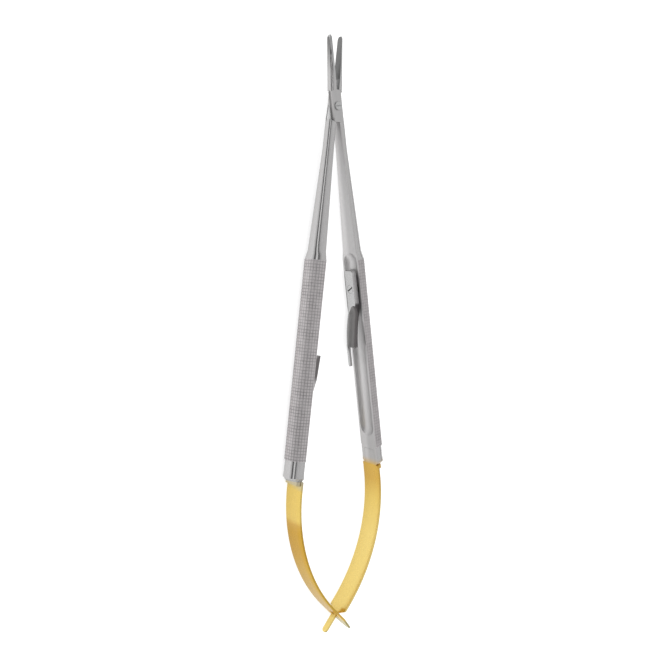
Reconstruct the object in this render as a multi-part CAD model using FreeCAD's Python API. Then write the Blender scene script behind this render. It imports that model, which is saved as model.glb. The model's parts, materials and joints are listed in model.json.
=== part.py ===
import FreeCAD, Part
import math
import os

# Micro needle holder with spring handles, open and lying on its side.
# Millimetres. +Y runs along the instrument to the jaw tips, +X to the right handle,
# +Z up from the surface that it lies on. The origin is under the middle of its outline.
# Each arm is drawn shut, in an arm frame: the pivot is at 0, 0, 0, the arm's flat inner face
# is the plane x = 0, the handle runs down -Y on the +X side and the jaw up +Y on the -X side.
# The left arm is the same forging turned half a turn about Y, so the half laps meet.

# Opening
open_half_angle = 7.46        # each handle from the centre line, springs relaxed
gape_half_angle = 5.55        # each jaw face from the centre line, springs relaxed

# Jaws
jaw_length = 20.0
jaw_parallel_end = 9.8        # up to here the jaw keeps its full width
jaw_base_width = 3.0
jaw_tip_width = 2.2
jaw_base_depth = 1.85
jaw_tip_depth = 0.65
jaw_nose_length = 0.7         # the last stretch, which is drawn in to a blunt nose
jaw_nose_share = 0.55
insert_length = 12.3
insert_thickness = 0.55

# Lap joint and its screw
lap_width = 3.0
lap_plate = 1.6
lap_gap = 0.04                # running gap between the two plates
lap_radius = 4.6
lap_clearance = 0.08
pivot_screw_radius = 0.75
pivot_running_clearance = 0.04
pivot_head_radius = 1.25
pivot_head_height = 0.35
pivot_slot_width = 0.4
pivot_slot_depth = 0.22
pivot_slot_angle = 8.0

# Shank: a half-round bar about an axis that lies a little outside the flat
axis_offset = 0.7
neck_start = 0.1
neck_start_radius = 1.5
neck_end = 5.0
neck_radius = 1.75
shank_thin_end = 12.6
shank_thin_radius = 1.8
shank_thick_end = 42.3
shank_thick_radius = 3.08

# Handle
knurl_start = 44.9
knurl_length = 59.0
knurl_root_radius = 3.72
ferrule_radius = 3.5
ferrule_length = 6.0
ferrule_flare_radius = 3.65
flare_length = 1.4
bevel_length = 0.9
bevel_drop = 0.8
channel_radius = 4.4
channel_depth = 1.25
channel_top = 46.0            # centre of the channel's rounded upper end
channel_bottom = 97.5         # centre of its rounded lower end

# Leaf springs
leaf_width = 7.36
leaf_thickness = 0.6
leaf_straight = 2.9           # straight run out of the ferrule
leaf_radius = 50.0
leaf_sweep = 49.46            # turn of the leaf from the handle's line
tang_length = 5.0
tang_width = 4.6
tang_clearance = 0.05
tang_overlap = 1.0            # how far it runs into the leaf
heel_length = 1.3
heel_radius = 3.1
heel_height = 1.9
tongue_width = 2.1
tongue_reach = 6.4            # past the crossing
shoulder_before = 2.0         # where the leaf starts to narrow, before the crossing
shoulder_root = 0.6           # where it has the tongue's width, before the crossing
slot_clearance = 0.25
slot_before = 1.4
slot_after = 1.5
tail_reach = 8.1
tail_end_width = 2.0

# Latch: a lever on the right handle and a fixed hook on the left one
lever_top = 48.2
lever_width = 3.5
lever_thickness = 1.55
lever_stand = 1.2             # how far its face stands in from the handle's flat
lever_straight_end = 60.3
lever_end = 71.6
lever_end_stand = 3.3
lever_bow = 0.37              # bulge of the lower arm beyond a straight line
lever_corner = 0.9
lever_tail_end = 77.6
lever_tail_width = 0.9
lever_tail_thickness = 0.8
scoop_radius = 3.6
scoop_low = -1.5              # where the scoop cuts the lever's face, from its middle
scoop_high = 1.1              # how far down its upper side the scoop cuts
scoop_lift = 0.3              # by which it follows the arm's bow
scoop_delay = 0.7             # from the end of the straight block to the scoop's centre
scoop_overrun = 1.0           # past the end of the arm
latch_screw_at = 53.8
latch_screw_radius = 0.8
latch_screw_clearance = 0.05
latch_screw_length = 2.6      # below the handle's flat
latch_head_radius = 1.25
latch_head_depth = 0.5
latch_slot_width = 0.35
latch_slot_depth = 0.3
latch_slot_angle = -29.0
latch_boss_radius = 1.6
latch_boss_gap = 0.03
latch_boss_root = 0.5         # how far the boss is let into the channel's floor
hook_top = 72.7
hook_height = 3.05
hook_mid = 80.0
hook_mid_height = 2.5
hook_end = 88.0
hook_end_height = 0.5
hook_low_side = -0.1          # its sides, above and below the middle plane
hook_high_side = 1.6
hook_foot_depth = 2.0
hook_foot_top = 75.0
hook_foot_bottom = 86.0

# Sizes that follow
jaw_lead = open_half_angle - gape_half_angle
knurl_end = knurl_start + knurl_length
ferrule_end = knurl_end + ferrule_length
bend_start = ferrule_end + leaf_straight
tail_heading = leaf_sweep - open_half_angle
reach_all = 400.0             # longer than anything here: for cutting tools
ORIGIN = FreeCAD.Vector(0, 0, 0)
X_AXIS = FreeCAD.Vector(1, 0, 0)
Y_AXIS = FreeCAD.Vector(0, 1, 0)
Z_AXIS = FreeCAD.Vector(0, 0, 1)


def vec(x, y, z=0.0):
    return FreeCAD.Vector(x, y, z)


def block(x_low, x_high, y_low, y_high, z_low, z_high):
    """A plain block between two corners."""
    return Part.makeBox(x_high - x_low, y_high - y_low, z_high - z_low, vec(x_low, y_low, z_low))


def plate(points, z_low, z_high):
    """A flat plate with a straight-edged outline."""
    outline = Part.makePolygon([vec(x, y, z_low) for x, y in points] + [vec(*points[0], z_low)])
    return Part.Face(outline).extrude(vec(0, 0, z_high - z_low))


def turned(profile):
    """A turned bar about the arm's axis, from (distance from the pivot, radius) steps."""
    rim = [vec(axis_offset + radius, -reach) for reach, radius in profile]
    ends = [vec(axis_offset, rim[-1].y), vec(axis_offset, rim[0].y)]
    outline = Part.makePolygon(rim + ends + rim[:1])
    return Part.Face(outline).revolve(vec(axis_offset, 0), Y_AXIS, 360)


def jaw_section(reach, width, depth):
    """A ground jaw section: a flat face and one round back."""
    low = vec(0, reach, -width / 2)
    high = vec(0, reach, width / 2)
    back = vec(-depth, reach, 0)
    face = Part.LineSegment(low, high).toShape()
    curve = Part.Arc(high, back, low).toShape()
    return Part.Wire([face, curve])


def jaw_depth(reach):
    """The back of the jaw tapers evenly from the lap joint to the nose."""
    share = (reach - lap_radius) / (jaw_length - jaw_nose_length - lap_radius)
    return jaw_base_depth + (jaw_tip_depth - jaw_base_depth) * share


def jaw_blank():
    """The whole jaw with its insert, in the arm frame."""
    nose_start = jaw_length - jaw_nose_length
    root = lap_radius / 2
    sections = [
        jaw_section(root, jaw_base_width, jaw_depth(root)),
        jaw_section(jaw_parallel_end, jaw_base_width, jaw_depth(jaw_parallel_end)),
        jaw_section(nose_start, jaw_tip_width, jaw_depth(nose_start)),
        jaw_section(jaw_length, jaw_tip_width * jaw_nose_share, jaw_tip_depth * jaw_nose_share),
    ]
    jaw = Part.makeLoft(sections, True, True)
    jaw.rotate(ORIGIN, Z_AXIS, -jaw_lead)
    return jaw


def insert_space():
    """The slice of the jaw that the hard insert takes up."""
    space = block(-insert_thickness, reach_all, jaw_length - insert_length, reach_all, -reach_all, reach_all)
    space.rotate(ORIGIN, Z_AXIS, -jaw_lead)
    return space


def lap_half():
    """The half-thickness plate that crosses the pivot."""
    strip = block(-jaw_base_depth, lap_width / 2, -lap_radius, lap_radius, lap_gap / 2, lap_plate)
    disc = Part.makeCylinder(lap_radius, lap_plate, ORIGIN)
    return strip.common(disc)


def lap_pocket():
    """The round pocket that lets the other arm's plate swing."""
    radius = lap_radius + lap_clearance
    return Part.makeCylinder(radius, reach_all, vec(0, 0, lap_gap / 2 - reach_all))


def channel():
    """The round-ended channel in the handle's flat inner face."""
    centre_x = channel_depth - channel_radius
    length = channel_bottom - channel_top
    tool = Part.makeCylinder(channel_radius, length, vec(centre_x, -channel_top), vec(0, -1, 0))
    for reach in (channel_top, channel_bottom):
        tool = tool.fuse(Part.makeSphere(channel_radius, vec(centre_x, -reach)))
    return tool


def tang_seat():
    """The shallow seat for the leaf's tang, open to the flat."""
    half = tang_width / 2 + tang_clearance
    deep = leaf_thickness + tang_clearance
    top = -(ferrule_end - tang_length - tang_clearance)
    return block(-reach_all, deep, -reach_all, top, -half, half)


def arm_blank():
    """What both arms share: jaw, lap plate, shank, handle and ferrule in one piece."""
    bar = turned([
        (neck_start, neck_start_radius),
        (neck_end, neck_radius),
        (shank_thin_end, shank_thin_radius),
        (shank_thick_end, shank_thick_radius),
        (knurl_start, knurl_root_radius),
        (knurl_end, knurl_root_radius),
        (knurl_end, ferrule_radius),
        (ferrule_end - flare_length - bevel_length, ferrule_radius),
        (ferrule_end - bevel_length, ferrule_flare_radius),
        (ferrule_end, ferrule_flare_radius - bevel_drop),
    ])
    bar = bar.cut(block(-reach_all, 0, -reach_all, reach_all, -reach_all, reach_all))
    steel_jaw = jaw_blank().cut(insert_space())
    arm = bar.fuse(steel_jaw).cut(lap_pocket())
    arm = arm.fuse(lap_half())
    return arm.cut(channel()).cut(tang_seat())


def pivot_hole(radius):
    return Part.makeCylinder(radius, 4 * lap_plate, vec(0, 0, -2 * lap_plate))


def latch_axis_cylinder(radius, x_low, x_high):
    """A cylinder about the latch screw's line, which is square to the handle's flat."""
    return Part.makeCylinder(radius, x_high - x_low, vec(x_low, -latch_screw_at), X_AXIS)


def right_arm():
    """The upper arm: its plate turns on the screw, and its handle carries the latch."""
    arm = arm_blank().cut(pivot_hole(pivot_screw_radius + pivot_running_clearance))
    boss_top = lever_thickness - lever_stand + latch_boss_gap
    boss = latch_axis_cylinder(latch_boss_radius, boss_top, channel_depth + latch_boss_root)
    arm = arm.fuse(boss)
    return arm.cut(latch_axis_cylinder(latch_screw_radius, boss_top, latch_screw_length))


def hook_foot():
    """The hook's foot, which is let into the floor of the channel."""
    return block(0, hook_foot_depth, -hook_foot_bottom, -hook_foot_top,
                 -hook_high_side, -hook_low_side)


def left_arm():
    """The lower arm: the screw is threaded into it, and its handle carries the hook."""
    return arm_blank().cut(pivot_hole(pivot_screw_radius)).cut(hook_foot())


def arm_insert():
    """The hard-metal jaw face, brazed into its rebate."""
    return jaw_blank().common(insert_space()).cut(lap_pocket())


def screw_slot(width, depth, length, top):
    """A screwdriver slot along X, cut down from the height top."""
    return block(-length, length, -width / 2, width / 2, top - depth, top + depth)


def pivot_screw():
    """The slotted pivot screw, in the place it has between the arms."""
    shank = Part.makeCylinder(pivot_screw_radius, 2 * lap_plate, vec(0, 0, -lap_plate))
    head_bottom = lap_plate + lap_gap / 2
    top = head_bottom + pivot_head_height
    head = Part.makeCylinder(pivot_head_radius, pivot_head_height, vec(0, 0, head_bottom))
    neck = Part.makeCylinder(pivot_screw_radius, pivot_head_height, vec(0, 0, lap_plate - lap_gap))
    screw = shank.fuse([neck, head])
    screw = screw.makeChamfer(pivot_head_height / 3, top_rim(screw, top, pivot_head_radius))
    slot = screw_slot(pivot_slot_width, pivot_slot_depth, pivot_head_radius, top)
    slot.rotate(ORIGIN, Z_AXIS, pivot_slot_angle)
    return screw.cut(slot)


def top_rim(shape, height, radius):
    """The round edge of a screw head at a height."""
    rims = []
    for edge in shape.Edges:
        is_round = isinstance(edge.Curve, Part.Circle) and abs(edge.Curve.Radius - radius) < 1e-6
        if is_round and abs(edge.CenterOfMass.z - height) < 1e-6:
            rims.append(edge)
    return rims


def latch_screw():
    """The slotted latch screw: its head is flush with the lever's face."""
    face = -lever_stand
    head = latch_axis_cylinder(latch_head_radius, face, face + latch_head_depth)
    shank = latch_axis_cylinder(latch_screw_radius, face, latch_screw_length)
    slot = block(face - latch_slot_depth, face + latch_slot_depth,
                 -latch_slot_width / 2, latch_slot_width / 2,
                 -latch_head_radius, latch_head_radius)
    slot.rotate(ORIGIN, X_AXIS, latch_slot_angle)
    slot.translate(vec(0, -latch_screw_at))
    return head.fuse(shank).cut(slot)


def lever_arc(shift):
    """The bowed stretch of the lever, moved out by shift from its inner face."""
    start = vec(-lever_stand + shift, -lever_straight_end)
    end = vec(-lever_end_stand + shift, -lever_end)
    middle = (start + end) * 0.5
    chord = end - start
    normal = vec(chord.y, -chord.x).normalize()
    return start, middle + normal * lever_bow, end


def latch_lever():
    """The latch lever: a straight block at its screw, then a bowed arm and a thin tail."""
    half = lever_width / 2
    inner = lever_arc(0)
    outer = lever_arc(lever_thickness)
    edges = [
        Part.LineSegment(vec(inner[0].x, -lever_top), inner[0]).toShape(),
        Part.Arc(*inner).toShape(),
        Part.LineSegment(inner[2], outer[2]).toShape(),
        Part.Arc(*reversed(outer)).toShape(),
        Part.LineSegment(outer[0], vec(outer[0].x, -lever_top)).toShape(),
        Part.LineSegment(vec(outer[0].x, -lever_top), vec(inner[0].x, -lever_top)).toShape(),
    ]
    bar = Part.Face(Part.Wire(edges)).extrude(vec(0, 0, lever_width))
    bar.translate(vec(0, 0, -half))
    tail_start = vec(inner[2].x, inner[2].y)
    tail = block(tail_start.x, tail_start.x + lever_tail_thickness,
                 -lever_tail_end + lever_tail_width / 2, tail_start.y + lever_tail_width,
                 -half, -half + lever_tail_width)
    tip = Part.makeCylinder(lever_tail_width / 2, lever_tail_thickness,
                            vec(tail_start.x, -lever_tail_end + lever_tail_width / 2,
                                -half + lever_tail_width / 2), X_AXIS)
    lever = bar.fuse([tail, tip])
    lever = lever.cut(lever_scoop(inner))
    corner = block(-reach_all, reach_all, -lever_corner, reach_all, half - lever_corner, reach_all)
    corner = corner.cut(Part.makeCylinder(lever_corner, 2 * reach_all,
                                          vec(-reach_all, -lever_corner, half - lever_corner), X_AXIS))
    corner.translate(vec(0, -lever_top))
    lever = lever.cut(corner)
    lever = lever.cut(latch_axis_cylinder(latch_screw_radius + latch_screw_clearance, -reach_all, reach_all))
    head_bore = latch_axis_cylinder(latch_head_radius + latch_screw_clearance,
                                    -reach_all, -lever_stand + latch_head_depth)
    return lever.cut(head_bore)


def lever_scoop(inner):
    """The round-ended scoop that takes the upper edge off the lever's bowed arm."""
    low = vec(0, 0, scoop_low)
    high = vec(scoop_high, 0, lever_width / 2)
    chord = high - low
    lift = math.sqrt(scoop_radius ** 2 - (chord.Length / 2) ** 2)
    outwards = vec(-chord.z, 0, chord.x).normalize()
    centre = (low + high) * 0.5 + outwards * lift + vec(-scoop_lift, 0)
    line = inner[2] - inner[0]
    start = inner[0] + centre + vec(*line).normalize() * scoop_delay
    length = line.Length - scoop_delay + scoop_overrun
    tool = Part.makeCylinder(scoop_radius, length, start, line)
    return tool.fuse(Part.makeSphere(scoop_radius, start))


def catch_hook():
    """The fixed hook: a ramped nose on a foot that is let into the handle."""
    outline = [
        (hook_foot_depth, -hook_foot_top),
        (0, -hook_foot_top),
        (-hook_height, -hook_top),
        (-hook_mid_height, -hook_mid),
        (-hook_end_height, -hook_end),
        (0, -hook_foot_bottom),
        (hook_foot_depth, -hook_foot_bottom),
    ]
    return plate(outline, -hook_high_side, -hook_low_side)


def leaf_line():
    """The middle line of a leaf: where its bend starts and ends, and its tail's direction."""
    x = leaf_thickness / 2
    sweep = math.radians(leaf_sweep)
    end = vec(x - leaf_radius * (1 - math.cos(sweep)), -bend_start - leaf_radius * math.sin(sweep))
    direction = vec(-math.sin(sweep), -math.cos(sweep))
    return vec(x, -bend_start), end, direction


def crossing():
    """The point of the leaf's middle line that lies on the centre line when open."""
    start, end, direction = leaf_line()
    placed = FreeCAD.Rotation(Z_AXIS, open_half_angle).multVec(end)
    run = placed.x / math.sin(math.radians(tail_heading))
    return end + direction * run, direction


def leaf_blank(reach):
    """A leaf without its slot or tongue: tang, heel, straight run, bend and tail."""
    point, direction = crossing()
    tip = point + direction * reach
    side = vec(-direction.y, direction.x)
    half = leaf_thickness / 2
    sweep = math.radians(leaf_sweep)
    centre = vec(half - leaf_radius, -bend_start)
    root = -ferrule_end

    def bend(radius):
        points = []
        for share in (0, 0.5, 1):
            angle = sweep * share
            points.append(centre + vec(radius * math.cos(angle), -radius * math.sin(angle)))
        return points

    outer = bend(leaf_radius + half)
    inner = bend(leaf_radius - half)
    tip_outer = tip - side * half
    tip_inner = tip + side * half
    if (tip_outer - outer[2]).Length > (tip_inner - outer[2]).Length:
        tip_outer, tip_inner = tip_inner, tip_outer
    edges = [
        Part.LineSegment(vec(2 * half, root), outer[0]).toShape(),
        Part.Arc(*outer).toShape(),
        Part.LineSegment(outer[2], tip_outer).toShape(),
        Part.LineSegment(tip_outer, tip_inner).toShape(),
        Part.LineSegment(tip_inner, inner[2]).toShape(),
        Part.Arc(*reversed(inner)).toShape(),
        Part.LineSegment(inner[0], vec(0, root)).toShape(),
        Part.LineSegment(vec(0, root), vec(2 * half, root)).toShape(),
    ]
    leaf = Part.Face(Part.Wire(edges)).extrude(vec(0, 0, leaf_width))
    leaf.translate(vec(0, 0, -leaf_width / 2))
    tang = block(0, leaf_thickness, root - tang_overlap, root + tang_length,
                 -tang_width / 2, tang_width / 2)
    heel = Part.makeCylinder(heel_radius, heel_length, vec(axis_offset, root), vec(0, -1, 0))
    heel = heel.common(block(0, heel_height, -reach_all, reach_all, -reach_all, reach_all))
    return leaf.fuse([tang, heel])


def on_tail(shape):
    """Places a shape drawn along +X from the crossing onto the leaf's tail."""
    point, direction = crossing()
    angle = math.degrees(math.atan2(direction.y, direction.x))
    shape.rotate(ORIGIN, Z_AXIS, angle)
    shape.translate(point)
    return shape


def rounded_strip(start, reach, width):
    """What is left of a leaf's end: a strip along +X with a round end."""
    half = width / 2
    strip = block(start, reach - half, -reach_all, reach_all, -half, half)
    end = Part.makeCylinder(half, 2 * reach_all, vec(reach - half, -reach_all), Y_AXIS)
    return strip.fuse(end)


def right_leaf():
    """The right leaf ends in two sloping shoulders and a tongue."""
    past_tip = tongue_reach + leaf_thickness
    half = leaf_width / 2
    tongue_half = tongue_width / 2
    kept = rounded_strip(-2 * shoulder_before, tongue_reach, tongue_width)
    shoulders = Part.makePolygon([
        vec(-2 * shoulder_before, 0, -half),
        vec(-shoulder_before, 0, -half),
        vec(-shoulder_root, 0, -tongue_half),
        vec(-shoulder_root, 0, tongue_half),
        vec(-shoulder_before, 0, half),
        vec(-2 * shoulder_before, 0, half),
        vec(-2 * shoulder_before, 0, -half),
    ])
    shoulders = Part.Face(shoulders).extrude(vec(0, 4 * leaf_thickness, 0))
    shoulders.translate(vec(0, -2 * leaf_thickness, 0))
    end = block(-shoulder_before, past_tip, -leaf_thickness, leaf_thickness, -reach_all, reach_all)
    return leaf_blank(tongue_reach).cut(on_tail(end.cut(kept).cut(shoulders)))


def left_leaf():
    """The left leaf has a slot for the tongue, and a tail that narrows."""
    slot_half = tongue_width / 2 + slot_clearance
    slot = block(-slot_before, slot_after, -leaf_thickness, leaf_thickness, -slot_half, slot_half)
    half = leaf_width / 2
    end_half = tail_end_width / 2
    past_tip = tail_reach + leaf_thickness
    taper = Part.makePolygon([
        vec(slot_after, 0, leaf_width),
        vec(slot_after, 0, half),
        vec(tail_reach, 0, end_half),
        vec(past_tip, 0, end_half),
        vec(past_tip, 0, leaf_width),
        vec(slot_after, 0, leaf_width),
    ])
    upper = Part.Face(taper).extrude(vec(0, 2 * leaf_thickness, 0))
    upper.translate(vec(0, -leaf_thickness, 0))
    lower = upper.mirror(ORIGIN, Z_AXIS)
    return leaf_blank(tail_reach).cut([on_tail(slot), on_tail(upper), on_tail(lower)])


def seat(shape, side):
    """Opens a piece of the right (1) or left (-1) arm about the pivot."""
    placed = shape.copy()
    if side < 0:
        placed.rotate(ORIGIN, Y_AXIS, 180)
    placed.rotate(ORIGIN, Z_AXIS, side * open_half_angle)
    return placed


pieces = {
    "left_arm": seat(left_arm(), -1),
    "right_arm": seat(right_arm(), 1),
    "left_arm_insert": seat(arm_insert(), -1),
    "right_arm_insert": seat(arm_insert(), 1),
    "pivot_screw": pivot_screw(),
    "left_leaf_spring": seat(left_leaf(), -1),
    "right_leaf_spring": seat(right_leaf(), 1),
    "latch_lever": seat(latch_lever(), 1),
    "latch_screw": seat(latch_screw(), 1),
    "catch_hook": seat(catch_hook(), -1),
}

# The instrument lies on the knurled handles, with the middle of its outline over the origin.
outline = Part.makeCompound(list(pieces.values())).BoundBox
pivot_place = vec(0, -(outline.YMin + outline.YMax) / 2, knurl_root_radius)

os.makedirs("parts", exist_ok=True)
for name, shape in pieces.items():
    shape.translate(pivot_place)
    solids = shape.Solids
    print(name, "solids", len(solids), "valid", shape.isValid(), "volume", round(shape.Volume, 2))
    whole = solids[0] if len(solids) == 1 else Part.makeCompound(solids)
    whole.exportStep("parts/" + name + ".step")

box = Part.makeCompound(list(pieces.values())).BoundBox
print("box", [round(value, 3) for value in
              (box.XMin, box.YMin, box.ZMin, box.XMax, box.YMax, box.ZMax)])
print("pivot", [round(value, 4) for value in pivot_place])
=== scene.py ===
# %% [markdown]
# # A micro needle holder, dressed for its picture
# The real object is a spring-handled surgical needle holder: two forged steel arms that cross
# at a screw, knurled round grips, a snap lock between them and two gilt leaf springs that cross
# at the back. The CAD model already has every solid in its place, in metres, with +Y towards
# the jaws. This notebook gives those solids their finish, and models what CAD leaves out:
# knurling, jaw teeth, softened edges and springs rebuilt as bent strips.

# %% The fixed frame
import json
import math

import bmesh
import bpy
from mathutils import Matrix, Vector


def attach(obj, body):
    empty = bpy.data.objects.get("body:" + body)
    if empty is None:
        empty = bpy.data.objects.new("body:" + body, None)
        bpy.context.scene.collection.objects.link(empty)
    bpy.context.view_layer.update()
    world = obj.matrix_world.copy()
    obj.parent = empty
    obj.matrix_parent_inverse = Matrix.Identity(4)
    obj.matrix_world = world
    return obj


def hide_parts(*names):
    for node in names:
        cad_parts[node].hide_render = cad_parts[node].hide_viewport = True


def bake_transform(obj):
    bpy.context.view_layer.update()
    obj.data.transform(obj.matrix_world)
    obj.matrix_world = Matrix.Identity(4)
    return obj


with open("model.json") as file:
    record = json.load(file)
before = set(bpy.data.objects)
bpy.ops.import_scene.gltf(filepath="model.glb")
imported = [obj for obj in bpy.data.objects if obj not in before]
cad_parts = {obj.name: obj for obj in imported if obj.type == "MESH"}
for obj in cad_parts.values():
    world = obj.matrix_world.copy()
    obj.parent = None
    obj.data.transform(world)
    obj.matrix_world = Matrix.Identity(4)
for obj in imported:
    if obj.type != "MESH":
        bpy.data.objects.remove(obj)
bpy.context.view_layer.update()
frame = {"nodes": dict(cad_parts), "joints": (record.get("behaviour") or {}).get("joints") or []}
print("CAD nodes:", sorted(frame["nodes"]))

# %% [markdown]
# ## Where an arm lies
# Both arms are one forging, drawn shut: the pivot at 0, the flat inner face in the plane x = 0,
# the handle down -Y and the jaw up +Y. The right arm is that drawing turned open about the
# pivot, and the left one is the same drawing turned over first. Everything that is made here
# for one arm is made in that drawing and then placed by one matrix.

# %% Placing a piece of an arm
MM = 0.001
OPEN_ANGLE = math.radians(7.46)
PIVOT = Vector(next(j["pos_m"] for j in frame["joints"] if j["name"] == "jaw_pivot"))
RIGHT = 1
LEFT = -1
BODY = {RIGHT: "right_side", LEFT: "left_side"}
SIDE_NAME = {RIGHT: "right", LEFT: "left"}


def arm_place(side):
    """The matrix from an arm's own drawing to the row frame."""
    turn = Matrix.Rotation(side * OPEN_ANGLE, 4, "Z")
    if side == LEFT:
        turn = turn @ Matrix.Rotation(math.pi, 4, "Y")
    return Matrix.Translation(PIVOT) @ turn


print("pivot at", [round(c, 5) for c in PIVOT])

# %% [markdown]
# ## The camera
# The photograph looks steeply down on the left grip from about 250 mm. Perspective is strong
# that close, and it alone makes the right leaf look wide and the left one narrow, so the
# camera is placed first and never adjusted to a single piece.

# %% Camera
CAMERA_SIDE = math.radians(37.63)
CAMERA_TILT = math.radians(6.72)
CAMERA_DISTANCE = 0.251
CAMERA_LENS = 45.28
SENSOR_WIDTH = 36
NEAREST_SEEN = 0.01
AIM = PIVOT + Vector((-0.00067, -0.0663, 0.0))

back = Vector((
    -math.sin(CAMERA_SIDE) * math.cos(CAMERA_TILT),
    math.sin(CAMERA_TILT),
    math.cos(CAMERA_SIDE) * math.cos(CAMERA_TILT),
))
sideways = Vector((math.cos(CAMERA_SIDE), 0, math.sin(CAMERA_SIDE)))
upwards = back.cross(sideways)
camera_data = bpy.data.cameras.new("camera")
camera_data.lens = CAMERA_LENS
camera_data.sensor_width = SENSOR_WIDTH
camera_data.clip_start = NEAREST_SEEN
camera = bpy.data.objects.new("camera", camera_data)
camera.matrix_world = Matrix.Translation(AIM + back * CAMERA_DISTANCE) @ Matrix(
    (sideways, upwards, back)).transposed().to_4x4()
bpy.context.scene.collection.objects.link(camera)
bpy.context.scene.camera = camera
print("camera at", [round(c, 4) for c in camera.location])

# %% [markdown]
# ## Small helpers for node trees
# A material or a geometry tree is a set of nodes and links. These helpers keep each of the
# later cells down to the numbers that matter.


# %% Node helpers
def feed(tree, socket, value):
    """Links an output to a socket, or sets the socket's own value."""
    if isinstance(value, bpy.types.NodeSocket):
        tree.links.new(value, socket)
    else:
        socket.default_value = value


def add_node(tree, kind, feeds=(), **settings):
    """A new node. Settings are its properties, and feeds are (socket, value or output)."""
    node = tree.nodes.new(kind)
    for name, value in settings.items():
        setattr(node, name, value)
    for socket, value in feeds:
        feed(tree, node.inputs[socket], value)
    return node


def calc(tree, operation, *values):
    """A Math node's result."""
    return add_node(tree, "ShaderNodeMath", enumerate(values), operation=operation).outputs[0]


def ramp(tree, value, low, high, out_low, out_high, smooth=False):
    """A Map Range node's result."""
    node = add_node(tree, "ShaderNodeMapRange",
                    enumerate((value, low, high, out_low, out_high)), clamp=True,
                    interpolation_type="SMOOTHSTEP" if smooth else "LINEAR")
    return node.outputs[0]


def mixed(tree, share, first, second, way="MIX"):
    """Two colours mixed, or blended in another way. Sockets 6 and 7 are the colours."""
    node = add_node(tree, "ShaderNodeMix", (("Factor", share), (6, first), (7, second)),
                    data_type="RGBA", blend_type=way)
    return node.outputs[2]


# %% Helpers for colours, vectors and patterns
def colour_steps(tree, share, steps):
    """A colour that passes through steps: (place from 0 to 1, colour)."""
    node = add_node(tree, "ShaderNodeValToRGB", [(0, share)])
    stops = node.color_ramp.elements
    while len(stops) < len(steps):
        stops.new(0.5)
    for stop, (position, colour) in zip(stops, steps):
        stop.position = position
        stop.color = (*colour, 1)
    return node.outputs[0]


def split_vector(tree, vector):
    """The X, Y and Z of a vector."""
    return add_node(tree, "ShaderNodeSeparateXYZ", [(0, vector)]).outputs


def joined_vector(tree, x, y, z):
    """Three numbers joined into a vector."""
    return add_node(tree, "ShaderNodeCombineXYZ", enumerate((x, y, z))).outputs[0]


def noise(tree, vector, scale, detail=2.0, rough=0.5):
    """A Noise texture's value on a vector."""
    node = add_node(tree, "ShaderNodeTexNoise", (
        ("Vector", vector), ("Scale", scale), ("Detail", detail), ("Roughness", rough)))
    return node.outputs["Fac"]


def stretched(tree, scale=(1, 1, 1), turn=0.0):
    """Object coordinates, turned about Z and then scaled."""
    where = add_node(tree, "ShaderNodeTexCoord").outputs["Object"]
    mapping = add_node(tree, "ShaderNodeMapping", (
        ("Vector", where), ("Rotation", (0, 0, turn)), ("Scale", scale)))
    return mapping.outputs[0]


# %% [markdown]
# ## Metal, and where its shade comes from
# A metal's look is mostly what it mirrors, so these materials set how sharply they mirror,
# tint the metal a little and leave the rest to the surroundings. A fine noise gives the grain.
# Some materials also have light and shade painted into their colour at one place, such as a
# dark tip. That could be a painted picture, but it needs an unwrapped mesh for each piece, so
# here it is a ramp between two marks on an Object coordinate.

# %% Metal helpers
GRAIN_LOW = 0.3
GRAIN_HIGH = 0.7
BUMP_DISTANCE = 0.02 * MM


def metal(name, colour=(0.5, 0.5, 0.5), roughness=0.4, metallic=1.0):
    """A metal material, its tree and its shader. What is linked later needs no value here."""
    material = bpy.data.materials.new(name)
    material.use_nodes = True
    tree = material.node_tree
    shader = tree.nodes["Principled BSDF"]
    feed(tree, shader.inputs["Metallic"], metallic)
    feed(tree, shader.inputs["Base Color"], (*colour, 1))
    feed(tree, shader.inputs["Roughness"], roughness)
    return material, tree, shader


def tint(tree, shader, share, low, high):
    """Varies the base colour between two colours: low where the share is 0."""
    colour = mixed(tree, share, (*low, 1), (*high, 1))
    tree.links.new(colour, shader.inputs["Base Color"])


def grain_share(tree, grain, low=0.0, high=1.0):
    """The middle range of a noise, in which most of it lies, spread from low to high."""
    return ramp(tree, grain, GRAIN_LOW, GRAIN_HIGH, low, high)


def roughen(tree, shader, grain, low, high):
    """Varies the roughness with a noise."""
    tree.links.new(grain_share(tree, grain, low, high), shader.inputs["Roughness"])


def relief(tree, shader, height, strength):
    """Adds a bump to a shader."""
    bump = add_node(tree, "ShaderNodeBump", (
        ("Strength", strength), ("Distance", BUMP_DISTANCE), ("Height", height)))
    tree.links.new(bump.outputs[0], shader.inputs["Normal"])


def darkened(tree, colour, share):
    """A colour multiplied by a share. A share above 1 makes it paler."""
    grey = add_node(tree, "ShaderNodeCombineColor", enumerate((share, share, share)))
    return mixed(tree, 1.0, colour, grey.outputs[0], way="MULTIPLY")


def along_axis(tree, axis, marks, shades=(0.0, 1.0), smooth=False):
    """A value that changes between two marks on an axis. The marks are in millimetres."""
    start, end = marks
    place = split_vector(tree, stretched(tree))[axis]
    return ramp(tree, place, start * MM, end * MM, *shades, smooth=smooth)
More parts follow.
